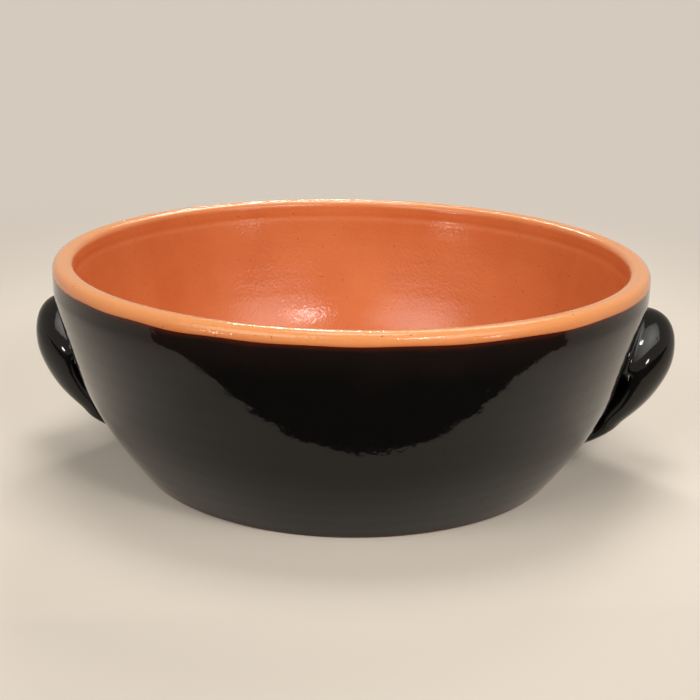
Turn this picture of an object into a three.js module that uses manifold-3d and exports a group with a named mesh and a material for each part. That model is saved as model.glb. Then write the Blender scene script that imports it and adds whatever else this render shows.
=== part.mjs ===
// A round terracotta casserole with two strap handles: black glaze outside, clear glaze inside.
// Millimetres, +Z up. The origin is the middle of the flat underside, and the handles lie along X.

import * as THREE from 'three';
import { mergeVertices } from 'three/addons/utils/BufferGeometryUtils.js';
import Module from 'manifold-3d';

// Bowl, over the glaze
const RIM_RADIUS = 140;
const HEIGHT = 102;
const FOOT_RADIUS = 101.5;
const SHOULDER_RADIUS = 130;
const SHOULDER_HEIGHT = 49;
const RIM_BAND = 12;
const FOOT_BEVEL = 1.2;

// How full the wall is: where its tangents meet, as a share of the rise below and above the shoulder
const BELLY_FULLNESS = 0.61;
const SHOULDER_FULLNESS = 0.82;
const INNER_FULLNESS = 0.6;

// Rim
const RIM_WIDTH = 9.8;
const RIM_FALL = 0.4;
const OUTER_LIP_RADIUS = 3.6;
const INNER_LIP_RADIUS = 1.8;

// Inside
const WALL_THICKNESS = 8.5;
const FLOOR_THICKNESS = 10;
const FLOOR_RADIUS = 76;
const CORNER_REACH = 25;

// Glaze
const GLAZE_THICKNESS = 0.5;
const GLAZE_LINE_BELOW_RIM = 5.3;
const BARE_FOOT_HEIGHT = 1.2;

// Handles: pulled straps in the upright plane through the bowl's axis, set on by hand
const HANDLE_TOP = 70;
const HANDLE_TAIL = 17;
const LEFT_HANDLE_DROP = 2.5;
const HANDLE_STAND_OFF = 5.5;
const HANDLE_THICKNESS = 17;
const HANDLE_ROOT_THICKNESS = 17.5;
const HANDLE_TAIL_THICKNESS = 7;
const HANDLE_WIDTH = 36;
const HANDLE_TAIL_WIDTH = 46;
const HANDLE_TAIL_RUN = 13;
const HANDLE_TAIL_SINK = 1;
const HANDLE_BURIED = 5;
const HANDLE_CURL = 3;
const SECTION_SQUARENESS = 2.1;

// The strap's course between root and tail: share of its full stand-off, share of its fall
const STRAP_COURSE = [[0.63, -0.02], [1.02, 0.16], [0.91, 0.41], [0.445, 0.69]];

// The middle of the gap behind the strap, as a share of its fall
const GAP_MIDDLE = 0.33;

// Slip that beds the handle ends on the wall
const SLIP_THICKNESS = 1.5;
const SLIP_SPREAD = 1.5;

// Clearance between pieces that touch
const SEAT_GAP = 0.3;

// Corners closer than this are one corner
const WELD_DISTANCE = 1e-4;

// Fineness of the round forms
const TURN_STEPS = 64;
const WALL_STEPS = 5;
const LIP_STEPS = 3;
const CORNER_STEPS = 6;
const HANDLE_STEPS = 26;
const SECTION_STEPS = 20;

const CLAY = { color: 0xc2683f, roughness: 0.85, metalness: 0 };
const CLEAR_GLAZE = { color: 0xc85a2e, roughness: 0.22, metalness: 0 };
const BLACK_GLAZE = { color: 0x14110e, roughness: 0.12, metalness: 0 };

const RIGHT = { side: 'right', turn: 0, drop: 0 };
const LEFT = { side: 'left', turn: Math.PI, drop: LEFT_HANDLE_DROP };

const wasm = await Module();
wasm.setup();

const point = (radius, height) => new THREE.Vector2(radius, height);

// A run that leaves one end towards the corner and reaches the other end from it
function smoothRun(from, corner, to, steps) {
  return new THREE.QuadraticBezierCurve(from, corner, to).getPoints(steps);
}

// Points of runs that share their ends, each end once
function joinRuns(runs) {
  return runs.flatMap((run, index) => (index === 0 ? run : run.slice(1)));
}

// The glazed surface from the foot, up the outside, over the rim and down the inside to the axis
const footEdge = point(FOOT_RADIUS, 0);
const shoulder = point(SHOULDER_RADIUS, SHOULDER_HEIGHT);
const bandFoot = point(RIM_RADIUS, HEIGHT - RIM_BAND);
const outerLip = point(RIM_RADIUS, HEIGHT - OUTER_LIP_RADIUS);
const rimOuter = point(RIM_RADIUS - OUTER_LIP_RADIUS, HEIGHT);
const rimInner = point(RIM_RADIUS - RIM_WIDTH + INNER_LIP_RADIUS, HEIGHT - RIM_FALL);
const innerLip = point(RIM_RADIUS - RIM_WIDTH, HEIGHT - RIM_FALL - INNER_LIP_RADIUS);
const floorEdge = point(FLOOR_RADIUS, FLOOR_THICKNESS);
const floorCentre = point(0, FLOOR_THICKNESS);

const bandRise = bandFoot.y - SHOULDER_HEIGHT;
const bandCorner = point(RIM_RADIUS, SHOULDER_HEIGHT + bandRise * SHOULDER_FULLNESS);
const shoulderDirection = bandCorner.clone().sub(shoulder).normalize();
const bellyDrop = SHOULDER_HEIGHT * (1 - BELLY_FULLNESS) / shoulderDirection.y;
const bellyCorner = shoulder.clone().addScaledVector(shoulderDirection, -bellyDrop);

const shoulderSide = point(-shoulderDirection.y, shoulderDirection.x);
const innerShoulder = shoulder.clone().addScaledVector(shoulderSide, WALL_THICKNESS);
const innerRise = innerLip.y - innerShoulder.y;
const innerCorner = innerShoulder.clone().addScaledVector(shoulderDirection, innerRise * INNER_FULLNESS);
const cornerUpper = innerShoulder.clone().addScaledVector(shoulderDirection, -CORNER_REACH);
const cornerLower = point(FLOOR_RADIUS + CORNER_REACH, FLOOR_THICKNESS);

const outerWall = joinRuns([
  smoothRun(footEdge, bellyCorner, shoulder, WALL_STEPS),
  smoothRun(shoulder, bandCorner, bandFoot, WALL_STEPS),
  [bandFoot, outerLip],
]);
const innerWall = joinRuns([
  smoothRun(innerLip, innerCorner, innerShoulder, WALL_STEPS),
  new THREE.CubicBezierCurve(innerShoulder, cornerUpper, cornerLower, floorEdge).getPoints(CORNER_STEPS),
]);
const glazedSurface = joinRuns([
  outerWall,
  smoothRun(outerLip, point(outerLip.x, rimOuter.y), rimOuter, LIP_STEPS),
  [rimOuter, rimInner],
  smoothRun(rimInner, point(innerLip.x, rimInner.y), innerLip, LIP_STEPS),
  innerWall,
  [floorEdge, floorCentre],
]);

// The profile moved square to itself, into the clay when the depth is positive
function sunk(profile, depth) {
  return profile.map((here, index) => {
    const before = profile[Math.max(index - 1, 0)];
    const after = profile[Math.min(index + 1, profile.length - 1)];
    const along = after.clone().sub(before).normalize();
    const moved = here.clone().addScaledVector(point(-along.y, along.x), depth);
    return here.x === 0 ? point(0, moved.y) : moved;
  });
}

// The points of a profile, which rises from the foot, just below and just above a given height
function pointsAround(profile, height) {
  const upper = profile.findIndex((place, index) => index > 0 && place.y >= height);
  return [profile[upper - 1], profile[upper]];
}

function outsideAt(profile, height) {
  const [low, high] = pointsAround(profile, height);
  return low.clone().lerp(high, (height - low.y) / (high.y - low.y));
}

// A place off the outer wall, square to it where the wall has the given height
function offWall(standOff, height) {
  const [low, high] = pointsAround(outerWall, height);
  const along = high.clone().sub(low).normalize();
  return outsideAt(outerWall, height).addScaledVector(point(along.y, -along.x), standOff);
}

function outsideIndexAbove(profile, height) {
  return profile.findIndex((place) => place.y > height);
}

// A surface of revolution about Z
function turned(profile) {
  const geometry = new THREE.LatheGeometry(profile, TURN_STEPS);
  return geometry.rotateX(Math.PI / 2);
}

// Only the positions, with shared corners merged and empty triangles left out
function welded(geometry) {
  const bare = new THREE.BufferGeometry();
  bare.setAttribute('position', geometry.getAttribute('position').clone());
  bare.setIndex(geometry.getIndex().clone());
  const merged = mergeVertices(bare, WELD_DISTANCE);
  const corners = merged.getIndex().array;
  const kept = [];
  for (let first = 0; first < corners.length; first += 3) {
    const [a, b, c] = corners.slice(first, first + 3);
    if (a !== b && b !== c && c !== a) kept.push(a, b, c);
  }
  merged.setIndex(kept);
  return merged;
}

function solid(geometry) {
  const mesh = welded(geometry);
  return new wasm.Manifold(new wasm.Mesh({
    numProp: 3,
    vertProperties: new Float32Array(mesh.getAttribute('position').array),
    triVerts: new Uint32Array(mesh.getIndex().array),
  }));
}

function fromSolid(body) {
  const mesh = body.getMesh();
  const geometry = new THREE.BufferGeometry();
  geometry.setAttribute('position', new THREE.BufferAttribute(mesh.vertProperties.slice(), 3));
  geometry.setIndex(Array.from(mesh.triVerts));
  geometry.computeVertexNormals();
  return geometry;
}

// The clay of the bowl, a glaze coat and a seat gap below the glazed surface
function bowlBody() {
  const clay = sunk(glazedSurface, GLAZE_THICKNESS + SEAT_GAP);
  const wall = clay.slice(outsideIndexAbove(clay, FOOT_BEVEL));
  const bevelTop = outsideAt(clay, FOOT_BEVEL);
  const bevelFoot = point(bevelTop.x - FOOT_BEVEL, 0);
  return turned([point(0, 0), bevelFoot, bevelTop, ...wall]);
}

function clearGlazeLining() {
  const start = outsideAt(glazedSurface, HEIGHT - GLAZE_LINE_BELOW_RIM + SEAT_GAP);
  const surface = [start, ...glazedSurface.slice(outsideIndexAbove(glazedSurface, start.y))];
  return turned([...sunk(surface, GLAZE_THICKNESS).reverse(), ...surface]);
}

function blackGlazeCoat() {
  const start = outsideAt(glazedSurface, BARE_FOOT_HEIGHT);
  const end = outsideAt(glazedSurface, HEIGHT - GLAZE_LINE_BELOW_RIM);
  const between = outerWall.filter((place) => place.y > start.y && place.y < end.y);
  const surface = [start, ...between, end];
  return turned([...surface, ...sunk(surface, GLAZE_THICKNESS).reverse(), start]);
}

// The bowl's outside, filled and grown, for cutting what stands on the wall
function grownBowl(growth) {
  const wall = sunk(outerWall, -growth);
  const below = point(0, wall[0].y);
  const above = point(0, wall[wall.length - 1].y);
  return solid(turned([below, ...wall, above]));
}

// The strap's middle line, from its root in the wall to its tail in the wall
function strapPath(drop) {
  const top = HANDLE_TOP - drop;
  const tail = HANDLE_TAIL - drop;
  const fullStandOff = HANDLE_STAND_OFF + HANDLE_THICKNESS / 2;
  const stations = [
    [-HANDLE_BURIED, top],
    ...STRAP_COURSE.map(([out, down]) => [fullStandOff * out, top - (top - tail) * down]),
    [HANDLE_TAIL_THICKNESS / 2 - HANDLE_TAIL_SINK, tail + HANDLE_TAIL_RUN / 2],
    [-HANDLE_BURIED, tail - HANDLE_TAIL_RUN / 2],
  ];
  const places = stations.map(([standOff, height]) => {
    const place = offWall(standOff, height);
    return new THREE.Vector3(place.x, 0, place.y);
  });
  return new THREE.CatmullRomCurve3(places, false, 'centripetal');
}

const blend = (from, to, share) => THREE.MathUtils.lerp(from, to, THREE.MathUtils.smoothstep(share, 0, 1));

function strapThickness(share) {
  return share < 0.5
    ? blend(HANDLE_ROOT_THICKNESS, HANDLE_THICKNESS, share * 2)
    : blend(HANDLE_THICKNESS, HANDLE_TAIL_THICKNESS, share * 2 - 1);
}

// One coordinate of a section between an ellipse and a rectangle
function squaredOff(value) {
  return Math.sign(value) * Math.abs(value) ** (2 / SECTION_SQUARENESS);
}

// A strap swept down its path, thick at the root, thin and wide at the tail, grown all round.
// Its edges curl in round the bowl.
function strap(drop, growth) {
  const path = strapPath(drop);
  const across = new THREE.Vector3(0, 1, 0);
  const positions = [];
  for (let step = 0; step <= HANDLE_STEPS; step += 1) {
    const share = step / HANDLE_STEPS;
    const centre = path.getPointAt(share);
    const outward = path.getTangentAt(share).cross(across).negate();
    const halfThickness = strapThickness(share) / 2 + growth;
    const halfWidth = blend(HANDLE_WIDTH, HANDLE_TAIL_WIDTH, share) / 2 + growth;
    for (let corner = 0; corner < SECTION_STEPS; corner += 1) {
      const angle = corner / SECTION_STEPS * 2 * Math.PI;
      const out = squaredOff(Math.cos(angle));
      const sideways = squaredOff(Math.sin(angle));
      const place = centre.clone()
        .addScaledVector(outward, out * halfThickness - sideways ** 2 * HANDLE_CURL)
        .addScaledVector(across, sideways * halfWidth);
      positions.push(...place.toArray());
    }
  }
  return lofted(positions);
}

// Rings of points joined to a closed body with a fan at each end
function lofted(positions) {
  const corners = [];
  for (let step = 0; step < HANDLE_STEPS; step += 1) {
    for (let corner = 0; corner < SECTION_STEPS; corner += 1) {
      const a = step * SECTION_STEPS + corner;
      const b = step * SECTION_STEPS + (corner + 1) % SECTION_STEPS;
      corners.push(a, b, a + SECTION_STEPS, b, b + SECTION_STEPS, a + SECTION_STEPS);
    }
  }
  const last = HANDLE_STEPS * SECTION_STEPS;
  for (let corner = 1; corner < SECTION_STEPS - 1; corner += 1) {
    corners.push(0, corner + 1, corner, last, last + corner, last + corner + 1);
  }
  const geometry = new THREE.BufferGeometry();
  geometry.setAttribute('position', new THREE.BufferAttribute(new Float32Array(positions), 3));
  geometry.setIndex(corners);
  return geometry;
}

// A block that holds everything above, or below, the middle of the gap behind a handle
function handleHalf(drop, isUpper) {
  const reach = 4 * RIM_RADIUS;
  const block = new THREE.BoxGeometry(reach, reach, reach);
  const middle = THREE.MathUtils.lerp(HANDLE_TOP, HANDLE_TAIL, GAP_MIDDLE) - drop;
  block.translate(0, 0, middle + (isUpper ? reach : -reach) / 2);
  return solid(block);
}

// Slip lies on the clay, and the handle on the slip, each with its seat gap
const slipUnderside = -GLAZE_THICKNESS;
const slipTop = slipUnderside + SLIP_THICKNESS;

function handle(drop) {
  return fromSolid(solid(strap(drop, 0)).subtract(grownBowl(slipTop + SEAT_GAP)));
}

function slipBed(drop, isUpper) {
  const layer = grownBowl(slipTop).subtract(grownBowl(slipUnderside));
  return fromSolid(solid(strap(drop, SLIP_SPREAD)).intersect(layer).intersect(handleHalf(drop, isUpper)));
}

// The black coat leaves the slip beds free
function coatAroundSlip() {
  const rightBeds = strap(RIGHT.drop, SLIP_SPREAD + SEAT_GAP).rotateZ(RIGHT.turn);
  const leftBeds = strap(LEFT.drop, SLIP_SPREAD + SEAT_GAP).rotateZ(LEFT.turn);
  return fromSolid(solid(blackGlazeCoat()).subtract(solid(rightBeds)).subtract(solid(leftBeds)));
}

function piece(name, geometry, finish) {
  const mesh = new THREE.Mesh(geometry, new THREE.MeshStandardMaterial(finish));
  mesh.name = name;
  return mesh;
}

function handleGroup({ side, turn, drop }) {
  const group = new THREE.Group();
  group.rotation.z = turn;
  group.add(
    piece(`handle_${side}`, handle(drop), BLACK_GLAZE),
    piece(`luting_${side}_upper`, slipBed(drop, true), BLACK_GLAZE),
    piece(`luting_${side}_lower`, slipBed(drop, false), BLACK_GLAZE),
  );
  return group;
}

const casserole = new THREE.Group();
casserole.add(
  piece('bowl_body', bowlBody(), CLAY),
  piece('clear_glaze_lining', clearGlazeLining(), CLEAR_GLAZE),
  piece('black_glaze_coat', coatAroundSlip(), BLACK_GLAZE),
  handleGroup(RIGHT),
  handleGroup(LEFT),
);

export default casserole;
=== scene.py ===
"""A terracotta casserole: its thrown bowl, two glazes, strap handles and slip joints, on a plain stage.

Metres, +Z up. The origin is the middle of the flat underside, and the handles lie along X.
"""

import math

import bmesh
import bpy
import numpy as np
from bpy.props import FloatProperty, FloatVectorProperty, PointerProperty
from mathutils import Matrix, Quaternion, Vector


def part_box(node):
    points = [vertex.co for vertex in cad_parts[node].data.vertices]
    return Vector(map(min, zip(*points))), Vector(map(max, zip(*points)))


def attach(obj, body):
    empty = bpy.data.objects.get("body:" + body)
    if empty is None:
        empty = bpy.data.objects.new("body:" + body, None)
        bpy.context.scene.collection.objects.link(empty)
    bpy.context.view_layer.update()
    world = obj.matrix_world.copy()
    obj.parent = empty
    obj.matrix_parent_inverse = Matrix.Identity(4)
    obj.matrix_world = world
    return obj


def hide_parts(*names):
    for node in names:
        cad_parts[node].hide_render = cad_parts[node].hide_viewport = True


bl_info = {
    "name": "Terracotta casserole",
    "version": (1, 0, 0),
    "blender": (4, 5, 0),
    "location": "3D View > Sidebar > Casserole",
    "description": "Throws, glazes and lights a terracotta casserole with two strap handles",
    "category": "Object",
}

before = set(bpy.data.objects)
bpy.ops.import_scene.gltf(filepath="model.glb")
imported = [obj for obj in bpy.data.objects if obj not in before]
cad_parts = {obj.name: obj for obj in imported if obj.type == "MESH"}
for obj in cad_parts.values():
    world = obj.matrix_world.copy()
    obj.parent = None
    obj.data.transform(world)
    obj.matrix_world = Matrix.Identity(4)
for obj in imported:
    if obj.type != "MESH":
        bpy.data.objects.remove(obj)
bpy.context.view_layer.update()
BODY = "root"

COAT_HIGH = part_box("black_glaze_coat")[1]
LINING_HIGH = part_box("clear_glaze_lining")[1]
RIGHT_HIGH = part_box("handle_right")[1]
LEFT_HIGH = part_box("handle_left")[1]

# Fineness of the meshes
TURN_STEPS = 360
ROW_SPACING = 0.001
CLAY_SPACING = 3 * ROW_SPACING
GLAZE_SPACING = 0.7 * ROW_SPACING
NORMAL_REACH = 0.3 * ROW_SPACING
HIDDEN_STEP = 4
CURVE_STEPS = 60
STRAP_ROWS = 120
SECTION_STEPS = 72
FILLET_ROWS = 14
SMOOTH_ANGLE = math.radians(40)

# Seeds, waves and pitches of the hand-made unevenness
WAVES = 14
LINE_SEED = 5
LINE_WAVES = 26
COAT_SEED = 3
LINING_SEED = 8
ROLL_WAVES = 7
ROLL_PITCH = 90.0
STRAP_SEED = 20
STRAP_WAVES = 4
STRAP_PITCH = 140.0

# How the pot settled out of round: share of its radius, lobes, where they start
OUT_OF_ROUND = ((0.0022, 2, 0.7), (0.0009, 3, 2.1))

# Throwing rings up the wall, and turning marks on the underside
RING_PITCH = 0.009
MARK_DEPTH = 0.00012
MARK_PITCH = 0.0042
MARK_SWAY = 260
MARK_FADE = 0.004

# The clear lining: its even lip, how its unevenness sets in below, how it thins under the black glaze
EVEN_LIP = 0.002
UNEVEN_EASE = 0.006
LAP_THINNING = 0.3
LAP_EASE = 0.0003

# The rim's paler colour, which sets in above the glaze line and ends below the rim, and the dark seam
PALE_EASE = 0.0012
PALE_OUTSIDE = 0.0052
PALE_INSIDE = 0.0030
SEAM_DARKNESS = 0.45
SEAM_WIDTH = 0.0006

# How thin the black glaze runs, from nought to one, and over which lengths that ends
LINE_THINNESS = 0.90
LINE_FADE = 0.0009
BAND_THINNESS = 0.40
BAND_WIDTH = 0.022
FOOT_THINNESS = 0.35
FOOT_WIDTH = 0.003
RIDGE_THINNESS = 0.62
SLIP_THINNESS = 0.05

# The thin ridges along a strap's edges: angle from its inner side, width, and their share at the root,
# where less than nought is none
RIDGE_ANGLE = 1.35
RIDGE_WIDTH = 0.25
RIDGE_START = -0.6

# The slip's hidden side: depth in the wall, step in from the strap's foot, depth in the strap, and the row
# of the strap that it is pressed towards
SLIP_DEPTH = 0.0008
SLIP_INSET = 0.0015
SLIP_GRIP = 0.0006
SLIP_GRIP_ROW = STRAP_ROWS // 6

# The strap's course between root and tail: share of its full stand-off, share of its fall
STRAP_COURSE = ((0.63, -0.02), (1.02, 0.16), (0.91, 0.41), (0.445, 0.69))

# Each side's name, its turn about the bowl's axis and how much lower its handle sits
SIDES = (("right", 0.0, 0.0), ("left", math.pi, RIGHT_HIGH.z - LEFT_HIGH.z))


def length(name, description, default):
    return FloatProperty(name=name, description=description, default=default, unit="LENGTH", precision=4)


def share(name, description, default):
    return FloatProperty(name=name, description=description, default=default, min=0, max=1, subtype="FACTOR")


def colour(name, description, default):
    return FloatVectorProperty(
        name=name, description=description, default=default, min=0, max=1, subtype="COLOR")


class BowlSizes(bpy.types.PropertyGroup):
    """Sizes of the thrown bowl, over its glaze."""

    rim_radius: length("Rim radius", "Outer radius of the rim", COAT_HIGH.x)
    height: length("Height", "Height of the rim", LINING_HIGH.z)
    foot_radius: length("Foot radius", "Radius of the wall where it meets the table", 0.1015)
    foot_bevel: length("Foot bevel", "Bevel round the underside", 0.0012)
    shoulder_radius: length("Shoulder radius", "Radius half way up the wall", 0.130)
    shoulder_height: length("Shoulder height", "Height of that place", 0.049)
    belly_fullness: share("Belly fullness", "Where the wall's tangents meet below the shoulder", 0.61)
    shoulder_fullness: share("Shoulder fullness", "Where they meet above it", 0.82)
    rim_band: length("Rim band", "Upright band under the rim", 0.012)
    rim_width: length("Rim width", "Thickness of the rim", 0.0098)
    rim_fall: length("Rim fall", "How much lower the rim's inner side is", 0.0004)
    outer_lip: length("Outer lip", "Rounding of the rim's outer edge", 0.0048)
    inner_lip: length("Inner lip", "Rounding of the rim's inner edge", 0.0036)
    wall: length("Wall", "Thickness of the wall at the shoulder", 0.0085)
    inner_fullness: share("Inner fullness", "Fullness of the inside above the shoulder", 0.6)
    floor: length("Floor", "Thickness of the floor", 0.010)
    floor_radius: length("Floor radius", "Radius of the flat part of the floor", 0.076)
    corner_reach: length("Corner reach", "How softly the inside turns into the floor", 0.025)


class GlazeSizes(bpy.types.PropertyGroup):
    """Where the glazes lie and how even they are."""

    thickness: length("Thickness", "Thickness of a glaze coat", 0.0005)
    seat: length("Seat", "Gap between a glaze coat and the clay", 0.0003)
    line: length("Glaze line", "How far below the rim the black glaze ends", 0.0053)
    line_wobble: length("Line wobble", "How far the glaze line strays", 0.00028)
    lap: length("Lap", "How far the clear glaze runs under the black one", 0.0015)
    bare_foot: length("Bare foot", "Height of the bare clay at the foot", 0.0004)
    ring_depth: length("Ring depth", "Depth of the throwing rings", 0.000012)
    roll: length("Roll", "Slow unevenness of the glazed wall", 0.00007)
    groove_below_rim: length("Groove below rim", "Place of the groove inside the rim", 0.0085)
    groove_depth: length("Groove depth", "Depth of that groove", 0.00030)
    groove_width: length("Groove width", "Width of that groove", 0.0016)


class HandleSizes(bpy.types.PropertyGroup):
    """Sizes of the pulled strap handles."""

    top: length("Top", "Height of the root on the wall", 0.070)
    tail: length("Tail", "Height of the tail on the wall", 0.017)
    stand_off: length("Stand-off", "Gap between strap and wall", 0.0050)
    thickness: length("Thickness", "Thickness of the strap in the middle", 0.0175)
    root_thickness: length("Root thickness", "Thickness at the root", 0.0175)
    tail_thickness: length("Tail thickness", "Thickness at the tail", 0.007)
    width: length("Width", "Width at the root", 0.040)
    tail_width: length("Tail width", "Width at the tail", 0.050)
    tail_run: length("Tail run", "Length of the tail along the wall", 0.013)
    tail_sink: length("Tail sink", "How deep the tail is pressed in", 0.001)
    buried: length("Buried", "Length of each end inside the wall", 0.005)
    edge_share: share("Edge share", "How far out the strap's edges stand, as a share of its middle", 0.35)
    edge_drop: length("Edge drop", "How far the strap's edges droop at its root", 0.018)
    edge_rise: length("Edge rise", "How much higher than its middle the tail ends at its edges", 0.003)
    squareness: FloatProperty(
        name="Squareness", description="2 is an ellipse, more is squarer", default=2.1, min=2)
    upper_fillet: length("Upper fillet", "Slip smoothed round the root", 0.0032)
    lower_fillet: length("Lower fillet", "Slip smoothed round the tail", 0.0055)
    wobble: length("Wobble", "Unevenness left by the hand", 0.00022)


class Finishes(bpy.types.PropertyGroup):
    """Colours of clay, glazes and stage."""

    terracotta: colour("Terracotta", "Clay under the clear glaze", (0.63, 0.168, 0.051))
    terracotta_pale: colour("Pale terracotta", "Where the clay fired paler", (0.69, 0.205, 0.067))
    rim: colour("Rim", "Clay under the thin glaze of the rim", (0.80, 0.315, 0.105))
    iron: colour("Iron", "Iron specks in the clay", (0.22, 0.045, 0.015))
    black: colour("Black glaze", "The black glaze where it is thick", (0.0033, 0.0030, 0.0029))
    brown: colour("Brown glaze", "The black glaze where it is thinner", (0.0105, 0.0056, 0.0044))
    red_brown: colour("Red-brown glaze", "The black glaze where it ends", (0.052, 0.0095, 0.0040))
    bare_clay: colour("Bare clay", "The unglazed underside", (0.50, 0.165, 0.070))
    bare_clay_dark: colour("Dark bare clay", "Darker patches of the underside", (0.37, 0.105, 0.042))
    floor: colour("Floor", "The stage's floor", (0.85, 0.765, 0.66))


# Curves in the upright plane, as rows of radius and height


def place(radius, height):
    return np.array((radius, height))


def bend(start, corner, end):
    """A run that leaves its start towards the corner and reaches its end from it."""
    along = np.linspace(0, 1, CURVE_STEPS + 1)[:, None]
    return (1 - along) ** 2 * start + 2 * along * (1 - along) * corner + along**2 * end


def sweep(start, first, second, end):
    """A run that is drawn by two corners."""
    along = np.linspace(0, 1, 2 * CURVE_STEPS + 1)[:, None]
    back = 1 - along
    return back**3 * start + 3 * back**2 * along * first + 3 * back * along**2 * second + along**3 * end


def straight(start, end):
    return np.linspace(start, end, CURVE_STEPS + 1)


def joined(*runs):
    """Runs that share their ends, each end once."""
    return np.vstack([runs[0], *(run[1:] for run in runs[1:])])


def arc_lengths(points):
    steps = np.linalg.norm(np.diff(points, axis=0), axis=1)
    return np.concatenate(([0.0], np.cumsum(steps)))


class Outline:
    """A line that is read by its arc length; normals and heights are for lines in the upright plane."""

    def __init__(self, points):
        self.points = points
        self.arcs = arc_lengths(points)
        self.end = self.arcs[-1]

    def at(self, arc):
        return np.stack([np.interp(arc, self.arcs, column) for column in self.points.T], axis=-1)

    def normal(self, arc):
        """The direction to the line's right, out of the clay on a line that starts at the foot."""
        along = self.at(np.minimum(arc + NORMAL_REACH, self.end)) - self.at(np.maximum(arc - NORMAL_REACH, 0))
        along /= np.linalg.norm(along, axis=-1, keepdims=True)
        return np.stack([along[..., 1], -along[..., 0]], axis=-1)

    def arc_at_height(self, height):
        """Only for a line that rises all the way."""
        return np.interp(height, self.points[:, 1], self.arcs)

    def radius_at_height(self, height):
        return np.interp(height, self.points[:, 1], self.points[:, 0])


def outer_wall(bowl):
    """From the foot up to the rim's outer edge."""
    foot = place(bowl.foot_radius, 0)
    shoulder = place(bowl.shoulder_radius, bowl.shoulder_height)
    band = place(bowl.rim_radius, bowl.height - bowl.rim_band)
    lip = place(bowl.rim_radius, bowl.height - bowl.outer_lip)
    band_corner = place(band[0], shoulder[1] + (band[1] - shoulder[1]) * bowl.shoulder_fullness)
    lean = (band_corner - shoulder) / (band_corner - shoulder)[1]
    belly = shoulder - lean * bowl.shoulder_height * (1 - bowl.belly_fullness)
    return joined(bend(foot, belly, shoulder), bend(shoulder, band_corner, band), straight(band, lip))


def rim_and_inside(bowl):
    """From the rim's outer edge over the rim and down to the middle of the floor."""
    wall = Outline(outer_wall(bowl))
    arc = wall.arc_at_height(bowl.shoulder_height)
    shoulder = wall.at(arc) - wall.normal(arc) * bowl.wall
    lean = np.array((-wall.normal(arc)[1], wall.normal(arc)[0]))
    lip = place(bowl.rim_radius, bowl.height - bowl.outer_lip)
    rim_outer = place(bowl.rim_radius - bowl.outer_lip, bowl.height)
    inner_radius = bowl.rim_radius - bowl.rim_width
    rim_inner = place(inner_radius + bowl.inner_lip, bowl.height - bowl.rim_fall)
    inner_lip = place(inner_radius, rim_inner[1] - bowl.inner_lip)
    inner_corner = shoulder + lean * (inner_lip - shoulder)[1] * bowl.inner_fullness
    floor_edge = place(bowl.floor_radius, bowl.floor)
    wall_corner = shoulder - lean * bowl.corner_reach
    floor_corner = floor_edge + place(bowl.corner_reach, 0)
    return joined(
        bend(lip, place(lip[0], rim_outer[1]), rim_outer),
        straight(rim_outer, rim_inner),
        bend(rim_inner, place(inner_radius, rim_inner[1]), inner_lip),
        bend(inner_lip, inner_corner, shoulder),
        sweep(shoulder, wall_corner, floor_corner, floor_edge),
        straight(floor_edge, place(0, bowl.floor)),
    )


def whole_outline(bowl):
    return Outline(joined(outer_wall(bowl), rim_and_inside(bowl)))


def between(first, second, low, high, at):
    """Steps that are at the first place at low and at the second one at high."""
    return (first * (high - at) + second * (at - low)) / (high - low)


def through(places):
    """A smooth curve through all the places, with no loop where they lie close together."""
    ends = np.vstack([2 * places[0] - places[1], places, 2 * places[-1] - places[-2]])
    runs = []
    for before, start, end, after in zip(ends, ends[1:], ends[2:], ends[3:]):
        steps = (start - before, end - start, after - end)
        knots = np.cumsum([0.0] + [np.linalg.norm(step) ** 0.5 for step in steps])
        at = np.linspace(knots[1], knots[2], CURVE_STEPS + 1)[:, None]
        one = between(before, start, knots[0], knots[1], at)
        two = between(start, end, knots[1], knots[2], at)
        three = between(end, after, knots[2], knots[3], at)
        early = between(one, two, knots[0], knots[2], at)
        late = between(two, three, knots[1], knots[3], at)
        runs.append(between(early, late, knots[1], knots[2], at))
    return joined(*runs)


# Hand-made unevenness


def unevenness(angle, along, seed, most_turns, most_pitch):
    """Repeatable smooth waves round and along a form, about one high."""
    rng = np.random.default_rng(seed)
    total = 0.0
    for _ in range(WAVES):
        turns = rng.integers(1, most_turns + 1)
        pitch = rng.uniform(-most_pitch, most_pitch)
        start = rng.uniform(0, 2 * math.pi)
        total = total + np.sin(turns * angle + pitch * along + start)
    return total / math.sqrt(WAVES)


def settled(points, bowl):
    """The pot as it left the wheel: a little out of round towards the rim."""
    angle = np.arctan2(points[..., 1], points[..., 0])
    rise = np.clip(points[..., 2] / bowl.height, 0, None) ** 2
    out_of_round = sum(depth * np.cos(lobes * angle + start) for depth, lobes, start in OUT_OF_ROUND)
    moved = points.copy()
    moved[..., :2] *= (1 + out_of_round * rise)[..., None]
    return moved


def set_in(distance, over):
    """From nought up to one over a length."""
    return np.clip(distance / over, 0, 1)


def fade(distance, over):
    """From one down to nought over a length."""
    return np.clip(1 - distance / over, 0, 1)


# Meshes from rows of points


def round_angles(steps):
    return np.arange(steps) * 2 * math.pi / steps


def turn_angles():
    return round_angles(TURN_STEPS)


def turned(outline, arcs, lifts):
    """Points of a thrown surface: each row's arc along the outline, and its lift off it."""
    spots = outline.at(arcs) + outline.normal(arcs) * lifts[..., None]
    angles = np.broadcast_to(turn_angles(), spots.shape[:2])
    radius = spots[..., 0]
    return np.stack([radius * np.cos(angles), radius * np.sin(angles), spots[..., 1]], axis=-1)


def strip_faces(rows, columns, closed):
    """Quads between rows of points that run all the way round."""
    row = np.arange(rows if closed else rows - 1)[:, None]
    column = np.arange(columns)[None, :]
    after = (column + 1) % columns
    below = row * columns
    above = (row + 1) % rows * columns
    quads = np.stack([below + column, below + after, above + after, above + column], axis=-1)
    return quads.reshape(-1, 4).tolist()


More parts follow.
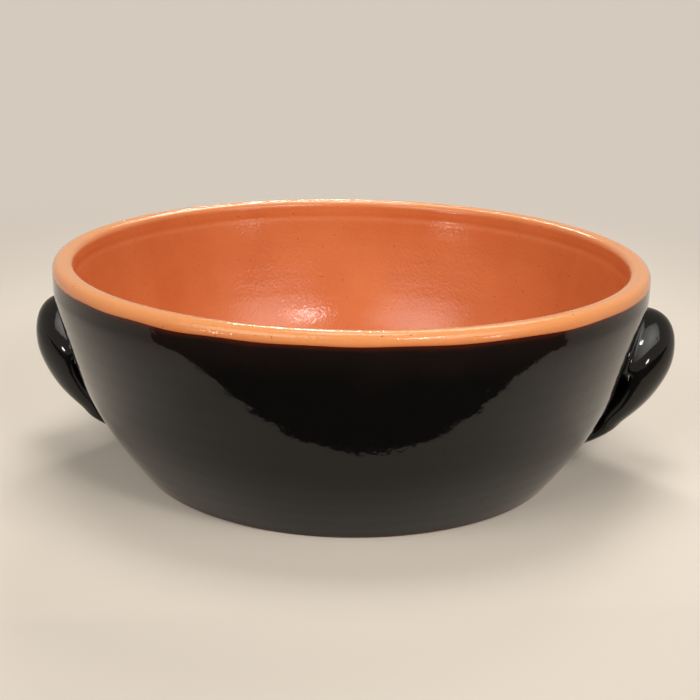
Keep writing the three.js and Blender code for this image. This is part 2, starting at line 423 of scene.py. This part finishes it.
def fan_faces(first, columns, middle):
    return [(first + column, first + (column + 1) % columns, middle) for column in range(columns)]


def make_piece(name, rows, material, replaced, closed=False, values=None):
    """A closed, smooth piece from rows of points, with values per point for its material."""
    count, columns = rows.shape[:2]
    points = rows.reshape(-1, 3)
    faces = strip_faces(count, columns, closed)
    if not closed:
        ends = (rows[0].mean(axis=0), rows[-1].mean(axis=0))
        points = np.vstack([points, *ends])
        faces += fan_faces(0, columns, len(points) - 2)
        faces += fan_faces((count - 1) * columns, columns, len(points) - 1)
    mesh = bpy.data.meshes.new(name)
    mesh.from_pydata(points.tolist(), [], faces)
    for key, grid in (values or {}).items():
        held = np.zeros(len(points))
        held[: count * columns] = grid.reshape(-1)
        mesh.attributes.new(key, "FLOAT", "POINT").data.foreach_set("value", held)
    shaped = bmesh.new()
    shaped.from_mesh(mesh)
    bmesh.ops.recalc_face_normals(shaped, faces=shaped.faces)
    shaped.to_mesh(mesh)
    shaped.free()
    mesh.shade_smooth()
    mesh.set_sharp_from_angle(angle=SMOOTH_ANGLE)
    mesh.materials.append(material)
    piece = bpy.data.objects.new(name, mesh)
    bpy.context.scene.collection.objects.link(piece)
    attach(piece, BODY)
    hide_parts(*replaced)
    return piece


def rows_between(start, end, spacing):
    """Arcs from start to end for every turn step; either end may differ from turn to turn."""
    start, end = np.broadcast_arrays(start, end, np.zeros(TURN_STEPS))[:2]
    count = max(2, math.ceil(np.abs(end - start).max() / spacing) + 1)
    return start + (end - start) * np.linspace(0, 1, count)[:, None]


# Node helpers


def add(tree, kind, sockets=None, **settings):
    """A node with its settings, and its sockets set to values or joined to other nodes' outputs."""
    made = tree.nodes.new(kind)
    for key, value in settings.items():
        setattr(made, key, value)
    for key, value in (sockets or {}).items():
        if isinstance(value, bpy.types.NodeSocket):
            tree.links.new(value, made.inputs[key])
        else:
            made.inputs[key].default_value = value
    return made


def ramp(tree, factor, stops):
    made = add(tree, "ShaderNodeValToRGB", {"Fac": factor})
    elements = made.color_ramp.elements
    while len(elements) < len(stops):
        elements.new(1.0)
    for element, (position, tint) in zip(elements, stops):
        element.position = position
        element.color = (*tint, 1.0)
    return made.outputs["Color"]


def grains(tree, where, scale, detail=3.0, roughness=0.5):
    sockets = {"Vector": where, "Scale": scale, "Detail": detail, "Roughness": roughness}
    return add(tree, "ShaderNodeTexNoise", sockets).outputs["Fac"]


def spots_apart(tree, where, scale):
    """The distance to the nearest of scattered spots."""
    sockets = {"Vector": where, "Scale": scale}
    return add(tree, "ShaderNodeTexVoronoi", sockets, feature="F1").outputs["Distance"]


def math_node(tree, operation, first, second):
    return add(tree, "ShaderNodeMath", {0: first, 1: second}, operation=operation).outputs[0]


def ranged(tree, value, low, high, new_low, new_high):
    sockets = {"Value": value, "From Min": low, "From Max": high, "To Min": new_low, "To Max": new_high}
    return add(tree, "ShaderNodeMapRange", sockets).outputs["Result"]


def tinted(tree, factor, first, second, blend="MIX"):
    made = add(tree, "ShaderNodeMix", data_type="RGBA", blend_type=blend)
    for socket, value in ((made.inputs[0], factor), (made.inputs[6], first), (made.inputs[7], second)):
        if isinstance(value, bpy.types.NodeSocket):
            tree.links.new(value, socket)
        elif isinstance(value, (int, float)):
            socket.default_value = value
        else:
            socket.default_value = (*value, 1.0)
    return made.outputs[2]


def bumped(tree, height, strength, distance, under=None):
    sockets = {"Height": height, "Strength": strength, "Distance": distance}
    if under is not None:
        sockets["Normal"] = under
    return add(tree, "ShaderNodeBump", sockets).outputs["Normal"]


def new_material(name):
    material = bpy.data.materials.new(name)
    material.use_nodes = True
    tree = material.node_tree
    surface = tree.nodes["Principled BSDF"]
    where = add(tree, "ShaderNodeTexCoord").outputs["Object"]
    return material, tree, surface, where


def held_value(tree, name):
    return add(tree, "ShaderNodeAttribute", attribute_name=name).outputs["Fac"]


# Materials


# Noise scales of the finishes' grain
GLAZE_CLOUD = 55.0
GLAZE_STREAK = 420.0
GLAZE_PEEL = 310.0
GLAZE_PITS = 95.0
CLAY_CLOUD = 26.0
CLAY_GRIT = 1300.0
CLAY_SPECKS = 150.0
CLAY_RIPPLE = 640.0
DRY_CLOUD = 34.0
DRY_GRIT = 900.0
DRY_SPECKS = 210.0
FLOOR_CLOUD = 3.0
CARD_CLOUD = 40.0

# Where in a grain's range a change starts and where it is full
GRAIN_SPAN = (0.3, 0.7)
CLAY_CLOUD_SPAN = (0.35, 0.68)
CLAY_GRIT_SPAN = (0.56, 0.80)
CLAY_SPECK_SPAN = (0.045, 0.085)
DRY_CLOUD_SPAN = (0.36, 0.66)
DRY_GRIT_SPAN = (0.58, 0.78)
DRY_SPECK_SPAN = (0.06, 0.12)
PIT_SPAN = (0.0, 0.055)

# How strongly grit and specks show, and how far the glaze's thinness strays
CLAY_GRIT_SHOWS = 0.22
CLAY_SPECK_SHOWS = 0.55
DRY_GRIT_SHOWS = 0.45
DRY_SPECK_SHOWS = 0.6
GLAZE_STRAYS = 0.34

# How thin the black glaze is where it looks black, brown and red-brown
BLACK_STOPS = (0.10, 0.42, 0.80)

# Strength and depth of the finishes' bumps
PEEL_BUMP = (0.04, 0.0012)
PIT_BUMP = (0.35, 0.00025)
RIPPLE_BUMP = (0.24, 0.0006)
GRIT_BUMP = (0.05, 0.0004)
DRY_GRIT_BUMP = (0.5, 0.0005)
DRY_SPECK_BUMP = (0.4, 0.0004)

# Gloss: refraction, and roughness from the smoothest places to the dullest
BLACK_IOR = 1.38
BLACK_ROUGHNESS = (0.035, 0.085)
CLEAR_IOR = 1.42
CLEAR_ROUGHNESS = (0.13, 0.20)
RIM_ROUGHNESS_SHARE = 0.38
DRY_ROUGHNESS = (0.78, 0.95)
FLOOR_ROUGHNESS = 0.75
CARD_ROUGHNESS = 0.9

# How much paler the floor is in its paler places
FLOOR_PALER = 1.04


def black_glaze(finish):
    """Deep black gloss that breaks to brown and red-brown where it runs thin."""
    material, tree, surface, where = new_material("black_gloss")
    cloud = grains(tree, where, GLAZE_CLOUD)
    streak = grains(tree, where, GLAZE_STREAK, detail=2.0)
    stray = math_node(tree, "MULTIPLY", math_node(tree, "SUBTRACT", cloud, 0.5), GLAZE_STRAYS)
    thin = math_node(tree, "ADD", held_value(tree, "thin"), stray)
    stops = tuple(zip(BLACK_STOPS, (finish.black, finish.brown, finish.red_brown)))
    tree.links.new(ramp(tree, thin, stops), surface.inputs["Base Color"])
    tree.links.new(ranged(tree, streak, *GRAIN_SPAN, *BLACK_ROUGHNESS), surface.inputs["Roughness"])
    surface.inputs["IOR"].default_value = BLACK_IOR
    peel = bumped(tree, grains(tree, where, GLAZE_PEEL, detail=1.5), *PEEL_BUMP)
    pit = ranged(tree, spots_apart(tree, where, GLAZE_PITS), *PIT_SPAN, 0.0, 1.0)
    tree.links.new(bumped(tree, pit, *PIT_BUMP, peel), surface.inputs["Normal"])
    return material


def glazed_terracotta(finish):
    """Orange clay under a clear, lightly rippled glaze, paler over the rim."""
    material, tree, surface, where = new_material("glazed_terracotta")
    cloud = grains(tree, where, CLAY_CLOUD, detail=4.0)
    paler = ranged(tree, cloud, *CLAY_CLOUD_SPAN, 0.0, 1.0)
    body = tinted(tree, paler, finish.terracotta, finish.terracotta_pale)
    body = tinted(tree, held_value(tree, "rim"), body, finish.rim)
    grit = grains(tree, where, CLAY_GRIT, detail=2.0)
    body = tinted(tree, ranged(tree, grit, *CLAY_GRIT_SPAN, 0.0, CLAY_GRIT_SHOWS), body, finish.rim)
    speck = ranged(tree, spots_apart(tree, where, CLAY_SPECKS), *CLAY_SPECK_SPAN, CLAY_SPECK_SHOWS, 0.0)
    body = tinted(tree, speck, body, finish.iron)
    body = tinted(tree, held_value(tree, "edge"), body, finish.iron)
    tree.links.new(body, surface.inputs["Base Color"])
    smoother = ranged(tree, held_value(tree, "rim"), 0.0, 1.0, 1.0, RIM_ROUGHNESS_SHARE)
    dull = ranged(tree, cloud, *GRAIN_SPAN, *CLEAR_ROUGHNESS)
    tree.links.new(math_node(tree, "MULTIPLY", dull, smoother), surface.inputs["Roughness"])
    surface.inputs["IOR"].default_value = CLEAR_IOR
    ripple = bumped(tree, grains(tree, where, CLAY_RIPPLE, detail=1.5), *RIPPLE_BUMP)
    tree.links.new(bumped(tree, grit, *GRIT_BUMP, ripple), surface.inputs["Normal"])
    return material


def bare_clay(finish):
    """Dry terracotta with grit and iron specks."""
    material, tree, surface, where = new_material("dry_clay")
    cloud = grains(tree, where, DRY_CLOUD, detail=5.0)
    paler = ranged(tree, cloud, *DRY_CLOUD_SPAN, 0.0, 1.0)
    body = tinted(tree, paler, finish.bare_clay_dark, finish.bare_clay)
    grit = grains(tree, where, DRY_GRIT, detail=4.0, roughness=0.65)
    body = tinted(tree, ranged(tree, grit, *DRY_GRIT_SPAN, 0.0, DRY_GRIT_SHOWS), body, finish.rim)
    speck = ranged(tree, spots_apart(tree, where, DRY_SPECKS), *DRY_SPECK_SPAN, DRY_SPECK_SHOWS, 0.0)
    body = tinted(tree, speck, body, finish.iron)
    tree.links.new(body, surface.inputs["Base Color"])
    tree.links.new(ranged(tree, grit, *GRAIN_SPAN, *DRY_ROUGHNESS), surface.inputs["Roughness"])
    grain = bumped(tree, grit, *DRY_GRIT_BUMP)
    tree.links.new(bumped(tree, speck, *DRY_SPECK_BUMP, grain), surface.inputs["Normal"])
    return material


def seen_or_mirrored(tree):
    """One where the stage is seen, by eye or in a mirror image, and nought where it lights."""
    path = add(tree, "ShaderNodeLightPath").outputs
    mirrored = math_node(tree, "MAXIMUM", path["Is Glossy Ray"], path["Is Transmission Ray"])
    return math_node(tree, "MAXIMUM", path["Is Camera Ray"], mirrored)


def pale_floor(finish):
    """A plain pale floor that takes the pot's shadow and fades into the backdrop further off."""
    material, tree, surface, where = new_material("pale_floor")
    cloud = grains(tree, where, FLOOR_CLOUD)
    paler = [min(1.0, FLOOR_PALER * channel) for channel in finish.floor]
    body = tinted(tree, ranged(tree, cloud, *GRAIN_SPAN, 0.0, 1.0), finish.floor, paler)
    tree.links.new(body, surface.inputs["Base Color"])
    surface.inputs["Roughness"].default_value = FLOOR_ROUGHNESS
    away = add(tree, "ShaderNodeVectorMath", {0: where}, operation="LENGTH").outputs["Value"]
    reach = {"Value": away, "From Min": FLOOR_FADE[0], "From Max": FLOOR_FADE[1]}
    far = add(tree, "ShaderNodeMapRange", reach, interpolation_type="SMOOTHSTEP").outputs["Result"]
    hazy = math_node(tree, "MULTIPLY", far, seen_or_mirrored(tree))
    haze = add(tree, "ShaderNodeEmission", {"Color": (*BACKDROP, 1.0)}).outputs["Emission"]
    mixed = add(tree, "ShaderNodeMixShader", {0: hazy, 1: surface.outputs["BSDF"], 2: haze})
    tree.links.new(mixed.outputs["Shader"], tree.nodes["Material Output"].inputs["Surface"])
    material.cycles.emission_sampling = "NONE"
    return material


def dark_card(finish):
    """Dull card, between black and brown."""
    material, tree, surface, where = new_material("dark_card")
    stops = tuple(zip(GRAIN_SPAN, (finish.black, finish.brown)))
    tree.links.new(ramp(tree, grains(tree, where, CARD_CLOUD), stops), surface.inputs["Base Color"])
    surface.inputs["Roughness"].default_value = CARD_ROUGHNESS
    return material


def made_once(name, maker):
    """The material of that name, made at its first use."""
    return bpy.data.materials.get(name) or maker(bpy.context.scene.casserole_finish)


# The bowl and its glazes


def glaze_line(bowl, glaze):
    """The arc on the outside where black glaze meets clear, turn by turn."""
    outline = Outline(outer_wall(bowl))
    stray = unevenness(turn_angles(), 0.0, LINE_SEED, LINE_WAVES, 0.0) * glaze.line_wobble
    return outline.arc_at_height(bowl.height - glaze.line) + stray


def wall_lift(arcs, glaze, seed):
    """Throwing rings and slow rolls of a glazed wall."""
    angles = turn_angles()
    climb = arcs - RING_PITCH * angles / (2 * math.pi)
    rings = glaze.ring_depth * np.sin(2 * math.pi * climb / RING_PITCH)
    return rings + glaze.roll * unevenness(angles, arcs, seed, ROLL_WAVES, ROLL_PITCH)


def turning_marks(radii, edge):
    """Heights of the marks that trimming left on the underside, down to none at its edge."""
    waves = 0.5 + 0.5 * np.sin(2 * math.pi * radii / MARK_PITCH + np.sin(radii * MARK_SWAY))
    return MARK_DEPTH * waves * set_in(edge - radii, MARK_FADE)


def hidden_side(outline, arcs, glaze):
    """The side of a glaze coat that lies on the clay, from its last row back towards its first."""
    back = arcs[::-HIDDEN_STEP]
    return turned(outline, back, np.full(back.shape, -glaze.thickness))


class CASSEROLE_OT_throw_body(bpy.types.Operator):
    """Make the clay body: bare underside, and the clay that lies under the glazes"""

    bl_idname = "casserole.throw_body"
    bl_label = "Throw the clay body"

    def execute(self, context):
        bowl = context.scene.casserole_bowl
        glaze = context.scene.casserole_glaze
        outline = whole_outline(bowl)
        sink = -(glaze.thickness + glaze.seat)
        start = Outline(outer_wall(bowl)).arc_at_height(bowl.foot_bevel)
        arcs = rows_between(start, outline.end - ROW_SPACING, CLAY_SPACING)
        clay = turned(outline, arcs, np.full(arcs.shape, sink))
        edge = outline.at(start)[0] + sink - bowl.foot_bevel
        radii = np.linspace(ROW_SPACING, edge, math.ceil(edge / ROW_SPACING))
        marks = np.repeat(turning_marks(radii, edge)[:, None], TURN_STEPS, axis=1)
        angles = turn_angles()
        disc = np.stack([np.outer(radii, np.cos(angles)), np.outer(radii, np.sin(angles)), marks], axis=-1)
        rows = settled(np.concatenate([disc, clay]), bowl)
        make_piece("bowl_clay", rows, made_once("dry_clay", bare_clay), ["bowl_body"])
        return {"FINISHED"}


class CASSEROLE_OT_line_inside(bpy.types.Operator):
    """Glaze the inside and the rim clear"""

    bl_idname = "casserole.line_inside"
    bl_label = "Line the inside"

    def execute(self, context):
        bowl = context.scene.casserole_bowl
        glaze = context.scene.casserole_glaze
        outline = whole_outline(bowl)
        line = glaze_line(bowl, glaze)
        wall_end = Outline(outer_wall(bowl)).end
        arcs = rows_between(line - glaze.lap, outline.end - ROW_SPACING, GLAZE_SPACING)
        height = outline.at(arcs)[..., 1]
        inside = outline.normal(arcs)[..., 0] < 0
        below_rim = bowl.height - bowl.rim_fall - height
        uneven = inside * set_in(below_rim - EVEN_LIP, UNEVEN_EASE)
        groove = np.exp(-(((below_rim - glaze.groove_below_rim) / glaze.groove_width) ** 2)) * inside
        under_black = -LAP_THINNING * glaze.thickness * set_in(line - arcs, LAP_EASE)
        lifts = wall_lift(arcs, glaze, LINING_SEED) * uneven - glaze.groove_depth * groove + under_black
        surface = turned(outline, arcs, lifts)
        under = hidden_side(outline, arcs, glaze)
        rows = settled(np.concatenate([under, surface]), bowl)
        rim = set_in(arcs - line, PALE_EASE) * fade(below_rim, PALE_OUTSIDE) ** 0.5
        rim = np.where(inside, rim * fade(below_rim, PALE_INSIDE), rim)
        seam = SEAM_DARKNESS * fade(arcs - line, SEAM_WIDTH) * (arcs < wall_end)
        pad = np.zeros(under.shape[:2])
        values = {"rim": np.concatenate([pad, rim]), "edge": np.concatenate([pad, seam])}
        material = made_once("glazed_terracotta", glazed_terracotta)
        make_piece("clear_lining", rows, material, ["clear_glaze_lining"], values=values)
        return {"FINISHED"}


class CASSEROLE_OT_coat_outside(bpy.types.Operator):
    """Glaze the outer wall black, from just above the foot to the glaze line"""

    bl_idname = "casserole.coat_outside"
    bl_label = "Coat the outside"

    def execute(self, context):
        bowl = context.scene.casserole_bowl
        glaze = context.scene.casserole_glaze
        wall = Outline(outer_wall(bowl))
        line = glaze_line(bowl, glaze)
        arcs = rows_between(wall.arc_at_height(glaze.bare_foot), line, GLAZE_SPACING)
        from_line = line - arcs
        lifts = wall_lift(arcs, glaze, COAT_SEED) * set_in(from_line, UNEVEN_EASE)
        surface = turned(wall, arcs, lifts)
        under = hidden_side(wall, arcs, glaze)
        rows = settled(np.concatenate([surface, under]), bowl)
        thin = LINE_THINNESS * np.exp(-from_line / LINE_FADE) + BAND_THINNESS * fade(from_line, BAND_WIDTH)
        thin += FOOT_THINNESS * fade(arcs - arcs[0], FOOT_WIDTH)
        values = {"thin": np.concatenate([thin, np.zeros(under.shape[:2])])}
        material = made_once("black_gloss", black_glaze)
        make_piece("black_coat", rows, material, ["black_glaze_coat"],
                   closed=True, values=values)
        return {"FINISHED"}


# Handles


def eased(start, end, along):
    smooth = np.clip(along, 0, 1)
    smooth = smooth * smooth * (3 - 2 * smooth)
    return start + (end - start) * smooth


def strap_course(bowl, handle, top, tail, out_share):
    """A line down a strap, from inside the wall at its root to inside the wall at its tail."""
    wall = Outline(outer_wall(bowl))
    reach = out_share * (handle.stand_off + handle.thickness / 2)
    stations = [(-handle.buried, top)]
    stations += [(reach * out, top - (top - tail) * down) for out, down in STRAP_COURSE]
    stations += [(handle.tail_thickness / 2 - handle.tail_sink, tail + handle.tail_run / 2)]
    stations += [(-handle.buried, tail - handle.tail_run / 2)]
    offs, heights = np.array(stations).T
    arcs = wall.arc_at_height(heights)
    return Outline(through(wall.at(arcs) + wall.normal(arcs) * offs[:, None]))


def strap_rows(bowl, handle, drop, seed):
    """Points of a strap row by row, whose edges curl in round the bowl."""
    top = handle.top - drop
    tail = handle.tail - drop
    middle = strap_course(bowl, handle, top, tail, 1.0)
    edge = strap_course(bowl, handle, top - handle.edge_drop, tail + handle.edge_rise, handle.edge_share)
    along = np.linspace(0, 1, STRAP_ROWS)
    centre = middle.at(along * middle.end)
    outward = -middle.normal(along * middle.end)
    curl = edge.at(along * edge.end) - centre
    thickness = np.where(
        along < 0.5,
        eased(handle.root_thickness, handle.thickness, 2 * along),
        eased(handle.thickness, handle.tail_thickness, 2 * along - 1),
    )
    width = eased(handle.width, handle.tail_width, along)
    angle = round_angles(SECTION_STEPS)
    power = 2 / handle.squareness
    out = np.sign(np.cos(angle)) * np.abs(np.cos(angle)) ** power
    side = np.sign(np.sin(angle)) * np.abs(np.sin(angle)) ** power
    run = middle.end * along[:, None]
    hand = handle.wobble * unevenness(angle[None, :], run, seed, STRAP_WAVES, STRAP_PITCH)
    half = (thickness[:, None] / 2 + hand) * out
    spots = centre[:, None] + curl[:, None] * (side**2)[:, None] + outward[:, None] * half[..., None]
    return np.stack([spots[..., 0], (width[:, None] / 2 + hand) * side, spots[..., 1]], axis=-1)


def wall_gap(points, wall):
    return np.hypot(points[..., 0], points[..., 1]) - wall.radius_at_height(points[..., 2])


def on_wall(points, wall, lift):
    """Points moved level to the wall's surface, and off it by a lift."""
    radius = np.hypot(points[..., 0], points[..., 1])
    moved = points.copy()
    moved[..., :2] *= ((wall.radius_at_height(points[..., 2]) + lift) / radius)[..., None]
    return moved


def unit(vectors):
    return vectors / np.linalg.norm(vectors, axis=-1, keepdims=True)


def way_out(line, wall):
    """The arc at which a line that starts inside the wall comes out of it."""
    gap = wall_gap(line.points, wall)
    outside = int(np.argmax((gap[1:] >= 0) & (gap[:-1] < 0))) + 1
    if gap[outside] < 0:
        raise RuntimeError("the strap's end doesn't pass through the wall")
    inside = outside - 1
    step = line.arcs[outside] - line.arcs[inside]
    return line.arcs[inside] + step * gap[inside] / (gap[inside] - gap[outside])


def slip_rows(strap, wall, fillet):
    """Rows of the slip that fills the corner between wall and strap, round the strap's first end."""
    lines = [Outline(points) for points in np.moveaxis(strap, 1, 0)]
    cuts = [way_out(line, wall) for line in lines]
    foot = np.array([line.at(cut) for line, cut in zip(lines, cuts)])
    rise = np.array([line.at(cut + fillet) for line, cut in zip(lines, cuts)])
    normal = unit(on_wall(foot, wall, ROW_SPACING) - on_wall(foot, wall, 0.0))
    along = unit(np.roll(foot, -1, axis=0) - np.roll(foot, 1, axis=0))
    spread = unit(np.cross(along, normal))
    away = foot - foot.mean(axis=0)
    spread *= np.sign(np.sum(spread * away))
    edge = on_wall(foot + spread * fillet, wall, 0.0)
    share_down = np.linspace(0, 1, FILLET_ROWS)[:, None, None]
    skin = (1 - share_down) ** 2 * rise + 2 * share_down * (1 - share_down) * foot + share_down**2 * edge
    buried_edge = on_wall(edge, wall, -SLIP_DEPTH)
    buried_foot = on_wall(foot - spread * SLIP_INSET, wall, -SLIP_DEPTH)
    inward = unit(strap.mean(axis=1)[SLIP_GRIP_ROW] - rise)
    buried_rise = rise + inward * SLIP_GRIP
    return np.concatenate([skin, [buried_edge, buried_foot, buried_rise]])


def about_axis(points, turn):
    spun = points.copy()
    spun[..., 0] = points[..., 0] * math.cos(turn) - points[..., 1] * math.sin(turn)
    spun[..., 1] = points[..., 0] * math.sin(turn) + points[..., 1] * math.cos(turn)
    return spun


class CASSEROLE_OT_pull_handles(bpy.types.Operator):
    """Make both strap handles"""

    bl_idname = "casserole.pull_handles"
    bl_label = "Pull the handles"

    def execute(self, context):
        bowl = context.scene.casserole_bowl
        handle = context.scene.casserole_handle
        material = made_once("black_gloss", black_glaze)
        from_wall = np.abs(round_angles(SECTION_STEPS) - math.pi)
        ridge = np.exp(-((np.abs(from_wall - RIDGE_ANGLE) / RIDGE_WIDTH) ** 2))
        low = np.clip(np.linspace(RIDGE_START, 1.0, STRAP_ROWS), 0, 1)
        values = {"thin": RIDGE_THINNESS * np.outer(low, ridge)}
        for seed, (side, turn, drop) in enumerate(SIDES, STRAP_SEED):
            rows = strap_rows(bowl, handle, drop, seed)
            rows = settled(about_axis(rows, turn), bowl)
            make_piece(f"strap_{side}", rows, material, [f"handle_{side}"], values=values)
        return {"FINISHED"}


class CASSEROLE_OT_lute_handles(bpy.types.Operator):
    """Make the four slip joints between the handles and the wall"""

    bl_idname = "casserole.lute_handles"
    bl_label = "Lute the handles on"

    def execute(self, context):
        bowl = context.scene.casserole_bowl
        handle = context.scene.casserole_handle
        wall = Outline(outer_wall(bowl))
        material = made_once("black_gloss", black_glaze)
        for seed, (side, turn, drop) in enumerate(SIDES, STRAP_SEED):
            strap = strap_rows(bowl, handle, drop, seed)
            ends = (("upper", strap, handle.upper_fillet), ("lower", strap[::-1], handle.lower_fillet))
            for end, rows, fillet in ends:
                slip = settled(about_axis(slip_rows(rows, wall, fillet), turn), bowl)
                values = {"thin": np.full(slip.shape[:2], SLIP_THINNESS)}
                make_piece(f"slip_{side}_{end}", slip, material, [f"luting_{side}_{end}"],
                           closed=True, values=values)
        return {"FINISHED"}


# Stage


# The camera's place, aim and roll, its focal length in pixels of the photograph, and its sensor in mm
CAMERA_PLACE = (0.03854, -0.60684, 0.23992)
CAMERA_AIM = (0.0, 0.0, 0.0526)
CAMERA_ROLL = math.radians(1.054)
PHOTO_WIDTH = 700
FOCAL_PIXELS = 1300
SENSOR = 36.0

# The floor, and how far off it starts to fade into the backdrop and is gone
FLOOR_SIZE = 30.0
FLOOR_DROP = 0.0002
FLOOR_FADE = (0.20, 0.75)

# A dark card before the pot, which only its gloss mirrors
CARD_EDGE = -0.166
CARD_TURN = math.radians(8.0)
CARD_DEPTH = 4.0
CARD_WIDTH = 8.0
CARD_LIFT = 0.0005

# Lamps: name, place, what they aim at, width, depth, spread in degrees, watts
LAMPS = (
    ("lamp_left", (-0.44, -0.61, 0.60), (0.0, 0.0, 0.05), 0.76, 0.52, 60.0, 0.64),
    ("lamp_right", (0.56, -0.52, 0.57), (0.0, 0.0, 0.05), 0.76, 0.52, 60.0, 0.56),
    ("lamp_top", (0.0, 0.06, 1.30), (0.0, 0.06, 0.0), 0.50, 0.50, 70.0, 0.80),
    ("lamp_back", (0.15, 1.00, 1.15), (0.0, 0.75, 0.0), 0.80, 0.50, 100.0, 3.0),
    ("lamp_spark", (0.36, -0.63, 0.58), (0.0, 0.0, 0.05), 0.18, 0.03, 60.0, 0.15),
    ("lamp_rim", (-0.19, 1.12, 0.90), (0.0, -0.13, 0.10), 0.25, 0.06, 60.0, 0.30),
    ("lamp_low_left", (-1.22, -1.30, 0.20), (0.0, 0.0, 0.09), 0.20, 0.08, 180.0, 2.4),
    ("lamp_low_right", (1.05, -0.80, 0.17), (0.0, 0.0, 0.06), 0.10, 0.06, 180.0, 0.9),
)
LAMP_TINT = (1.0, 0.97, 0.93)
SKY = (0.110, 0.108, 0.105)
BACKDROP = (0.66, 0.59, 0.51)


def add_lamp(name, spot, aim, width, depth, spread, watts):
    light = bpy.data.lights.new(name, "AREA")
    light.shape = "RECTANGLE"
    light.size = width
    light.size_y = depth
    light.spread = math.radians(spread)
    light.energy = watts
    light.color = LAMP_TINT
    lamp = bpy.data.objects.new(name, light)
    lamp.visible_camera = False
    lamp.location = spot
    lamp.rotation_euler = (Vector(aim) - Vector(spot)).to_track_quat("-Z", "Y").to_euler()
    bpy.context.scene.collection.objects.link(lamp)


def lay(name, material, corners):
    """A flat stretch of the stage between two corners."""
    (left, front), (right, back) = corners
    mesh = bpy.data.meshes.new(name)
    spots = [(left, front, 0), (right, front, 0), (right, back, 0), (left, back, 0)]
    mesh.from_pydata(spots, [], [(0, 1, 2, 3)])
    mesh.materials.append(material)
    stretch = bpy.data.objects.new(name, mesh)
    bpy.context.scene.collection.objects.link(stretch)
    return stretch


def lay_floor():
    half = FLOOR_SIZE / 2
    floor = lay("floor", made_once("pale_floor", pale_floor), ((-half, -half), (half, half)))
    floor.location.z = -FLOOR_DROP


def lay_card():
    """A dark card on the floor, which shows in mirror images alone."""
    half = CARD_WIDTH / 2
    corners = ((-half, CARD_EDGE - CARD_DEPTH), (half, CARD_EDGE))
    card = lay("card", made_once("dark_card", dark_card), corners)
    card.location.z = CARD_LIFT
    card.rotation_euler.z = CARD_TURN
    card.visible_camera = False
    card.visible_diffuse = False
    card.visible_shadow = False


def hang_backdrop(scene):
    """A dim, even light from all round, which is paler where it is seen or mirrored."""
    scene.world = bpy.data.worlds.new("studio")
    scene.world.use_nodes = True
    tree = scene.world.node_tree
    light = tinted(tree, seen_or_mirrored(tree), SKY, BACKDROP)
    tree.links.new(light, tree.nodes["Background"].inputs["Color"])


def place_camera(scene):
    camera = bpy.data.objects.new("camera", bpy.data.cameras.new("camera"))
    camera.data.sensor_width = SENSOR
    camera.data.lens = FOCAL_PIXELS / PHOTO_WIDTH * SENSOR
    camera.location = CAMERA_PLACE
    facing = (Vector(CAMERA_AIM) - Vector(CAMERA_PLACE)).to_track_quat("-Z", "Y")
    camera.rotation_mode = "QUATERNION"
    camera.rotation_quaternion = facing @ Quaternion((0, 0, 1), CAMERA_ROLL)
    scene.collection.objects.link(camera)
    scene.camera = camera


class CASSEROLE_OT_set_stage(bpy.types.Operator):
    """Lay the floor, hang the lamps and place the camera"""

    bl_idname = "casserole.set_stage"
    bl_label = "Set the stage"

    def execute(self, context):
        scene = context.scene
        lay_floor()
        lay_card()
        for lamp in LAMPS:
            add_lamp(*lamp)
        hang_backdrop(scene)
        scene.view_settings.view_transform = "Standard"
        place_camera(scene)
        return {"FINISHED"}


STEPS = (
    CASSEROLE_OT_throw_body,
    CASSEROLE_OT_line_inside,
    CASSEROLE_OT_coat_outside,
    CASSEROLE_OT_pull_handles,
    CASSEROLE_OT_lute_handles,
    CASSEROLE_OT_set_stage,
)


class CASSEROLE_PT_sidebar(bpy.types.Panel):
    """The casserole's sizes, finishes and steps"""

    bl_idname = "CASSEROLE_PT_sidebar"
    bl_label = "Terracotta casserole"
    bl_space_type = "VIEW_3D"
    bl_region_type = "UI"
    bl_category = "Casserole"

    def draw(self, context):
        for group in GROUPS:
            held = getattr(context.scene, group)
            box = self.layout.box()
            for key in held.bl_rna.properties.keys():
                if key not in ("rna_type", "name"):
                    box.prop(held, key)
        for step in STEPS:
            self.layout.operator(step.bl_idname)


GROUPS = {
    "casserole_bowl": BowlSizes,
    "casserole_glaze": GlazeSizes,
    "casserole_handle": HandleSizes,
    "casserole_finish": Finishes,
}
CLASSES = (*GROUPS.values(), *STEPS, CASSEROLE_PT_sidebar)


def register():
    for item in CLASSES:
        bpy.utils.register_class(item)
    for name, group in GROUPS.items():
        setattr(bpy.types.Scene, name, PointerProperty(type=group))


def unregister():
    for name in GROUPS:
        delattr(bpy.types.Scene, name)
    for item in reversed(CLASSES):
        bpy.utils.unregister_class(item)


def main():
    register()
    bpy.ops.casserole.throw_body()
    bpy.ops.casserole.line_inside()
    bpy.ops.casserole.coat_outside()
    bpy.ops.casserole.pull_handles()
    bpy.ops.casserole.lute_handles()
    bpy.ops.casserole.set_stage()


if __name__ == "__main__":
    main()
